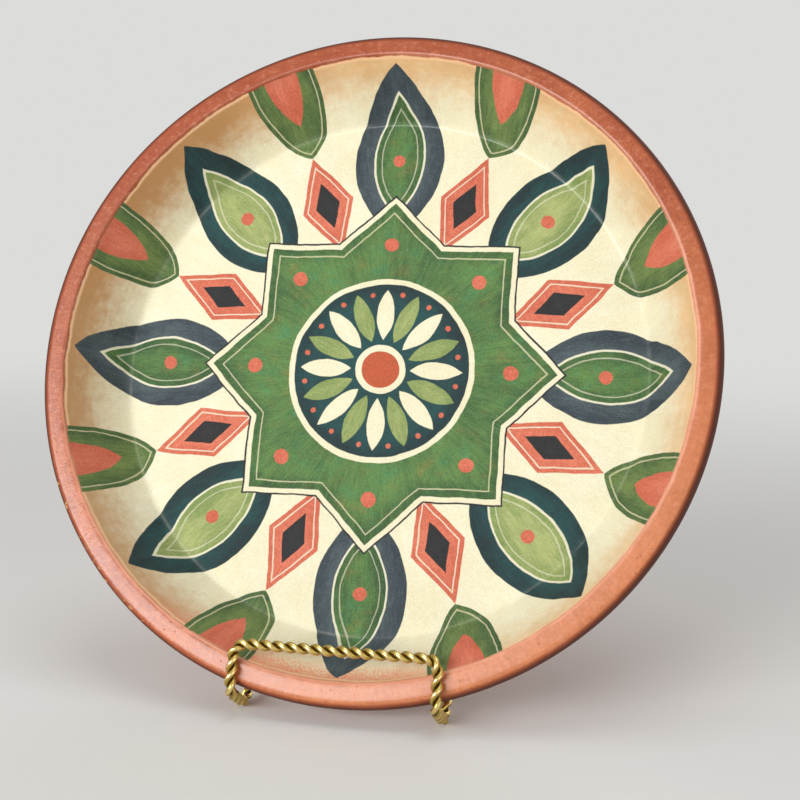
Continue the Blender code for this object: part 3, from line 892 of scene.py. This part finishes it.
# Mixed green: leaf green, with emerald and olive sponged into it
mixed_green = tint(tree, LEAF_GREEN, EMERALD, fade(tree, blotches, 0.52, 0.66), 0.5)
mixed_green = tint(tree, mixed_green, OLIVE, fade(tree, blotches, 0.47, 0.34), 0.65)

# Pointed arches that stand on the rim, with coral hearts
arch = petal(between_eight, middle=138.0, half_length=27.0, half_width=16.0)
arch_heart = petal(between_eight, middle=140.0, half_length=15.0, half_width=8.0)
arch_line = line(arch, from_edge=-2.2, half_width=0.3)
design = lay_on(ground, arch, DEEP_GREEN, SAGE, outward_strokes)
design = lay_on(design, arch_line, CREAM, PALE_SAGE, round_strokes, share=0.7)
design = lay_on(design, arch_heart, CORAL, PALE_CORAL, outward_strokes)

# Eight long petals that run up the wall, slate and teal in turn
long_petal = petal(eight, middle=101.5, half_length=36.0, half_width=21.0)
inner_petal = petal(eight, middle=102.0, half_length=27.0, half_width=12.0)
petal_edge = line(inner_petal, from_edge=0.0, half_width=0.5)
petal_line = line(inner_petal, from_edge=-3.2, half_width=0.3)
petal_dot = dot(eight, along=101.0, radius=3.0)
petal_deep = blend(tree, odd_petal, SLATE, DEEP_TEAL)
petal_light = blend(tree, odd_petal, PALE_SLATE, TEAL)
inner_deep = blend(tree, odd_petal, DEEP_GREEN, SAGE)
inner_light = blend(tree, odd_petal, mixed_green, PALE_SAGE)
design = lay_on(design, long_petal, petal_deep, petal_light, outward_strokes)
design = lay_on(design, inner_petal, inner_deep, inner_light, outward_strokes)
design = lay_on(design, petal_edge, PALE_CREAM, CREAM, round_strokes, share=0.85)
design = lay_on(design, petal_line, PALE_CREAM, CREAM, round_strokes, share=0.45)
design = lay_on(design, petal_dot, CORAL, PALE_CORAL, round_strokes)

# Coral lozenges in the well, between the petals
wide_lozenge = lozenge(between_eight, middle=85.0, half_length=26.0, half_width=12.5)
small_lozenge = lozenge(between_eight, middle=85.0, half_length=12.0, half_width=5.8)
lozenge_line = line(wide_lozenge, from_edge=-2.2, half_width=0.3)
design = lay_on(design, wide_lozenge, CORAL, PALE_CORAL, round_strokes)
design = lay_on(design, lozenge_line, PALE_CREAM, CREAM, round_strokes, share=0.75)
design = lay_on(design, small_lozenge, BLACK, SOOT, round_strokes)

# Eight-pointed star with a cream edge, a thin line on each side of it, and dots
STAR_REACH = 80.0
STAR_EDGE = 2.6
along, across = eight
diagonal = math.sqrt(0.5)
star = weigh(tree, (along, diagonal), (across, diagonal), (1.0, -STAR_REACH * diagonal))
wide_star = formula(tree, "SUBTRACT", star, STAR_EDGE)
outer_line = line(star, from_edge=STAR_EDGE, half_width=0.4)
star_line = line(star, from_edge=-3.4, half_width=0.3)
star_dot = dot(eight, along=59.5, radius=3.4)
design = lay_on(design, wide_star, CREAM, PALE_CREAM, round_strokes)
design = lay_on(design, star, DEEP_GREEN, mixed_green, outward_strokes)
design = lay_on(design, outer_line, BLACK, SOOT, round_strokes)
design = lay_on(design, star_line, CREAM, PALE_SAGE, round_strokes, share=0.7)
design = lay_on(design, star_dot, CORAL, PALE_CORAL, round_strokes)

# Rosette in the middle
design = lay_on(design, disc(radius=43.0), CREAM, PALE_CREAM, round_strokes)
design = lay_on(design, disc(radius=40.4), DEEP_TEAL, TEAL, round_strokes)
small_petal = petal(sixteen, middle=25.5, half_length=12.0, half_width=4.1)
small_dot = dot(between_sixteen, along=35.6, radius=1.2)
small_deep = blend(tree, odd_small_petal, CREAM, SAGE)
small_light = blend(tree, odd_small_petal, PALE_CREAM, PALE_SAGE)
design = lay_on(design, small_petal, small_deep, small_light, outward_strokes)
design = lay_on(design, small_dot, CORAL, PALE_CORAL, round_strokes)
design = lay_on(design, disc(radius=11.4), CREAM, PALE_CREAM, round_strokes)
design = lay_on(design, disc(radius=8.6), RUST, CORAL, round_strokes)

# The bend between well and wall is rubbed: its paint is thin and pale, partly a painted highlight
# along the bend, and its varnish bright
BEND_AT = 119.6
bend = formula(tree, "ABSOLUTE", formula(tree, "SUBTRACT", own_frame.outputs["Radius"], BEND_AT))
polished_bend = fade(tree, bend, 2.6, 0.8)
# A thin pale line on the bend: partly rubbed paint, partly a painted highlight
rubbed_and_highlight = formula(tree, "MULTIPLY", fade(tree, bend, 0.9, 0.2), fade(tree, mottle, 0.35, 0.7))
design = tint(tree, design, PALE_CREAM, rubbed_and_highlight, 0.1)

# Terracotta rim, brushed round: lighter low on the right as painted light, darker and redder at the
# top as painted shade, deeper on its outer side, pale along its inner edge, partly worn and partly a
# painted highlight, and chipped to the clay low on the left
rim_colour = brushed_colour(RIM_DEEP, RIM_LIGHT, round_strokes, INSIDE_AN_EDGE)
# Lighter, oranger paint low on the right: painted light
toward_low_right = weigh(tree, (across_face, 0.7), (up_face, -0.7))
painted_light_side = fade(tree, toward_low_right, 20.0, 120.0)
rim_colour = tint(tree, rim_colour, RIM_ORANGE, painted_light_side, 0.5)
# Darker and redder towards the top and upper left: painted shade
toward_up_left = weigh(tree, (across_face, -0.5), (up_face, 0.87))
upper_half = formula(tree, "MULTIPLY", fade(tree, up_face, -70.0, 10.0), 0.26)
painted_shade_top = weigh(tree, (fade(tree, toward_up_left, 60.0, 140.0), 0.36), (upper_half, 1.0))
rim_colour = blend(tree, painted_shade_top, rim_colour, RIM_RED)
daubs = noise(tree, place, 0.42, detail=3.0, roughness=0.6)
rim_colour = tint(tree, rim_colour, RIM_PALE, fade(tree, daubs, 0.5, 0.75), 0.27)
rim_colour = tint(tree, rim_colour, RIM_DEEP, fade(tree, daubs, 0.46, 0.26), 0.27)
height = add_node(tree, "SeparateXYZ", {"Vector": place}).outputs["Z"]
lower_rim = fade(tree, up_face, -50.0, -125.0)
edge_shift = weigh(tree, (wobble, 0.8), (lower_rim, -0.8), (painted_light_side, -0.4), (upper_half, 2.4))
beyond_band = formula(tree, "ADD", own_frame.outputs["Radius"], edge_shift)
below_flat = fade(tree, height, -1.0, -2.0)
outer_side = formula(tree, "MAXIMUM", fade(tree, beyond_band, 146.7, 148.0), below_flat)
rim_colour = tint(tree, rim_colour, RIM_BURNT, outer_side, 0.88)
# A dark line round the outer edge: partly dark paint, partly painted shade
below_edge = fade(tree, height, -1.5, -3.0)
dark_line = formula(tree, "MAXIMUM", fade(tree, beyond_band, 147.7, 149.0), below_edge)
dark_line = formula(tree, "MULTIPLY", dark_line, fade(tree, height, -8.0, -4.8))
rim_colour = blend(tree, dark_line, rim_colour, RIM_SHADED)
toward_low_left = weigh(tree, (across_face, -0.78), (up_face, -0.62))
toward_left = weigh(tree, (across_face, -0.82), (up_face, 0.57))
shaded_left = fade(tree, toward_left, 60.0, 130.0)
top_side = fade(tree, up_face, 20.0, 100.0)
# The inner edge is pale where it faces the light: partly worn paint, partly a painted highlight, less
# on the shaded left and at the top
inner_side = fade(tree, inside_band, -2.2, -0.8)
wear_and_highlight = weigh(tree, (shaded_left, -0.85), (top_side, -0.6), (1.0, 0.9))
wear_and_highlight_share = formula(tree, "MAXIMUM", wear_and_highlight, 0.0)
rim_colour = tint(tree, rim_colour, RIM_PALE, inner_side, wear_and_highlight_share)
# A thin dark line along the inner edge, darker on the left as painted shade
inner_line = fade(tree, line(inside_band, from_edge=-0.6, half_width=0.2), 0.25, -0.25)
dark_left = fade(tree, across_face, -126.0, -137.0)
line_share = weigh(tree, (dark_left, 0.4), (1.0, 0.06))
rim_colour = tint(tree, rim_colour, RIM_SHADED, inner_line, line_share)
pit_field = add_node(tree, "TexVoronoi", {"Vector": place, "Scale": 0.3}).outputs["Distance"]
pits = formula(tree, "MULTIPLY", fade(tree, pit_field, 0.16, 0.08), fade(tree, mottle, 0.45, 0.6))
rim_colour = tint(tree, rim_colour, RIM_BURNT, pits, 0.5)
front_edge = formula(tree, "MULTIPLY", outer_side, fade(tree, height, -2.6, -1.0))
low_left_edge = formula(tree, "MULTIPLY", front_edge, fade(tree, toward_low_left, 138.0, 147.0))
bare_spots = fade(tree, noise(tree, place, 0.3, detail=4.0, roughness=0.65), 0.57, 0.65)
chips = formula(tree, "MULTIPLY", low_left_edge, bare_spots)
rim_colour = blend(tree, chips, rim_colour, WORN_CLAY)
on_rim = fade(tree, inside_band, -0.05, -0.5)
face_colour = blend(tree, on_rim, design, rim_colour)

# Satin varnish over brush marks and a fine tooth in the ground
rim_daubs = formula(tree, "MULTIPLY", daubs, on_rim)
strokes_laid = weigh(tree, (grain, 0.06), (outward_strokes, 0.05), (round_strokes, 0.05))
brush_marks = weigh(tree, (strokes_laid, 1.0), (rim_daubs, 0.12), (bristles, 0.08))
brush_relief = weigh(tree, (brush_marks, 1.0), (pits, -0.2), (chips, -0.2))
relief = add_node(tree, "Bump", {"Height": brush_relief, "Distance": MM, "Strength": 0.7})
gloss = weigh(tree, (mottle, 0.12), (grain, 0.14), (outer_side, 0.45), (1.0, 0.23))
tree.links.new(face_colour, shader.inputs["Base Color"])
tree.links.new(gloss, shader.inputs["Roughness"])
tree.links.new(relief.outputs["Normal"], shader.inputs["Normal"])
varnish = weigh(tree, (outer_side, -0.12), (polished_bend, 0.38), (1.0, 0.12))
tree.links.new(varnish, shader.inputs["Coat Weight"])
shader.inputs["Specular IOR Level"].default_value = 0.58
shader.inputs["Coat Roughness"].default_value = 0.2

# Bare clay of the back, with rings left by turning and a little paint over the rim's underside
CLAY = paint(186, 111, 78)
PALE_CLAY = paint(202, 132, 96)
DARK_CLAY = paint(140, 76, 52)
RING_FREQUENCY = 2.3

bare_clay, tree, shader = start_material("bare_clay_back")
own_frame = add_node(tree, "Group", node_tree=plate_frame)
place = own_frame.outputs["Place"]
height = add_node(tree, "SeparateXYZ", {"Vector": place}).outputs["Z"]
cloud = noise(tree, place, 0.024, detail=4.0, roughness=0.5)
grit = noise(tree, place, 1.3, detail=3.0, roughness=0.7)
along_section = formula(tree, "SUBTRACT", own_frame.outputs["Radius"], height)
uneven_turn = formula(tree, "MULTIPLY_ADD", cloud, 1.6, along_section)
turning = formula(tree, "SINE", formula(tree, "MULTIPLY", uneven_turn, RING_FREQUENCY))
grog = add_node(tree, "TexVoronoi", {"Vector": place, "Scale": 0.22}).outputs["Distance"]
clay_colour = tint(tree, CLAY, PALE_CLAY, fade(tree, cloud, 0.3, 0.7), 0.5)
clay_colour = tint(tree, clay_colour, DARK_CLAY, fade(tree, turning, 0.0, 1.0), 0.2)
clay_colour = tint(tree, clay_colour, DARK_CLAY, fade(tree, grit, 0.42, 0.75), 0.4)
clay_colour = tint(tree, clay_colour, PALE_CLAY, fade(tree, grog, 0.12, 0.06), 0.6)
overpaint = fade(tree, weigh(tree, (own_frame.outputs["Radius"], 1.0), (cloud, 8.0)), 144.5, 146.5)
clay_colour = blend(tree, overpaint, clay_colour, RIM_DEEP)
clay_relief = weigh(tree, (turning, 0.09), (grit, 0.22), (cloud, 0.2))
relief = add_node(tree, "Bump", {"Height": clay_relief, "Distance": MM, "Strength": 0.8})
dryness = weigh(tree, (grit, 0.2), (overpaint, -0.3), (1.0, 0.72))
tree.links.new(clay_colour, shader.inputs["Base Color"])
tree.links.new(dryness, shader.inputs["Roughness"])
tree.links.new(relief.outputs["Normal"], shader.inputs["Normal"])

plate.data.materials.append(painted_clay)
plate.data.materials.append(bare_clay)
for face in plate.data.polygons:
    beyond_wall = math.hypot(face.center.x, face.center.y) > PAINT_ENDS_RADIUS
    face.material_index = 0 if face.normal.z > PAINT_ENDS_SLOPE or beyond_wall else 1
choose(plate)
plate.matrix_world = seat
bpy.ops.object.transform_apply(location=True, rotation=True, scale=True)
bpy.ops.object.shade_smooth()
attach(plate, "plate")
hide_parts("plate")

# Studio
# A plain pale floor that runs out to the colour of the background, and soft light from the left, the
# right, above and behind.
BACKDROP = paint(220, 220, 218)
FLOOR_COLOUR = paint(238, 237, 234)
FLOOR_RADIUS = 12.0
FLOOR_PLAIN_FROM = 0.15
FLOOR_PLAIN_BY = 1.35

bpy.ops.mesh.primitive_circle_add(vertices=96, radius=FLOOR_RADIUS, fill_type="NGON")
floor = bpy.context.object
floor.name = "pale_floor"
floor_finish, tree, shader = start_material("pale_floor")
floor_place = add_node(tree, "TexCoord").outputs["Object"]
away = add_node(tree, "VectorMath", {0: floor_place}, operation="LENGTH").outputs["Value"]
far = fade(tree, away, FLOOR_PLAIN_FROM, FLOOR_PLAIN_BY)
shader.inputs["Base Color"].default_value = FLOOR_COLOUR
shader.inputs["Roughness"].default_value = 0.85
shader.inputs["Specular IOR Level"].default_value = 0.2
backdrop = add_node(tree, "Emission", {"Color": BACKDROP, "Strength": 1.0})
merged = add_node(tree, "MixShader", {0: far, 1: shader.outputs[0], 2: backdrop.outputs[0]})
tree.links.new(merged.outputs[0], tree.nodes["Material Output"].inputs["Surface"])
floor.data.materials.append(floor_finish)

world = bpy.data.worlds.new("studio")
world.use_nodes = True
bpy.context.scene.world = world
tree = world.node_tree
path = add_node(tree, "LightPath")
seen = formula(tree, "MAXIMUM", path.outputs["Is Camera Ray"], path.outputs["Is Glossy Ray"])
seen = formula(tree, "MAXIMUM", seen, path.outputs["Is Transmission Ray"])
ambient = add_node(tree, "Background", {"Color": (1.0, 1.0, 1.0, 1.0), "Strength": 0.22})
shown = add_node(tree, "Background", {"Color": BACKDROP, "Strength": 1.0})
both = add_node(tree, "MixShader", {0: seen, 1: ambient.outputs[0], 2: shown.outputs[0]})
tree.links.new(both.outputs[0], tree.nodes["World Output"].inputs["Surface"])

plate_middle = seat.translation
for name, place, width, height, watts in (
    ("window_light", (-0.75, -1.42, 0.6), 1.1, 0.46, 22.0),
    ("right_fill", (1.2, -1.0, 0.6), 1.0, 1.0, 3.5),
    ("top_light", (0.1, -0.1, 1.5), 0.9, 0.9, 4.5),
    ("back_fill", (0.5, 1.5, 0.9), 1.2, 1.2, 7.0),
):
    bpy.ops.object.light_add(type="AREA", location=place)
    lamp = bpy.context.object
    lamp.name = name
    lamp.data.shape = "RECTANGLE"
    lamp.data.size = width
    lamp.data.size_y = height
    lamp.data.energy = watts
    lamp.rotation_euler = (plate_middle - Vector(place)).to_track_quat("-Z", "Y").to_euler()

# Camera at the photograph's angle: a little from the right and a little from above
CAMERA_AZIMUTH = math.radians(12.44)
CAMERA_ELEVATION = math.radians(8.66)
CAMERA_ROLL = math.radians(0.36)
CAMERA_DISTANCE = 559.4 * MM
CAMERA_TARGET = Vector((15.2 * MM, -10.2 * MM, 127.43 * MM))
CAMERA_LENS = 58.5
SENSOR_WIDTH = 36.0
back = Vector((
    math.sin(CAMERA_AZIMUTH) * math.cos(CAMERA_ELEVATION),
    -math.cos(CAMERA_AZIMUTH) * math.cos(CAMERA_ELEVATION),
    math.sin(CAMERA_ELEVATION),
))
level = Vector((math.cos(CAMERA_AZIMUTH), math.sin(CAMERA_AZIMUTH), 0.0))
upward = back.cross(level)
right = math.cos(CAMERA_ROLL) * level + math.sin(CAMERA_ROLL) * upward
up = math.cos(CAMERA_ROLL) * upward - math.sin(CAMERA_ROLL) * level
bpy.ops.object.camera_add()
camera = bpy.context.object
camera.data.lens = CAMERA_LENS
camera.data.sensor_width = SENSOR_WIDTH
camera.data.clip_start = 0.01
turn = Matrix((right, up, back)).transposed().to_4x4()
camera.matrix_world = Matrix.Translation(CAMERA_TARGET + back * CAMERA_DISTANCE) @ turn
bpy.context.scene.camera = camera
bpy.context.scene.view_settings.view_transform = "Standard"
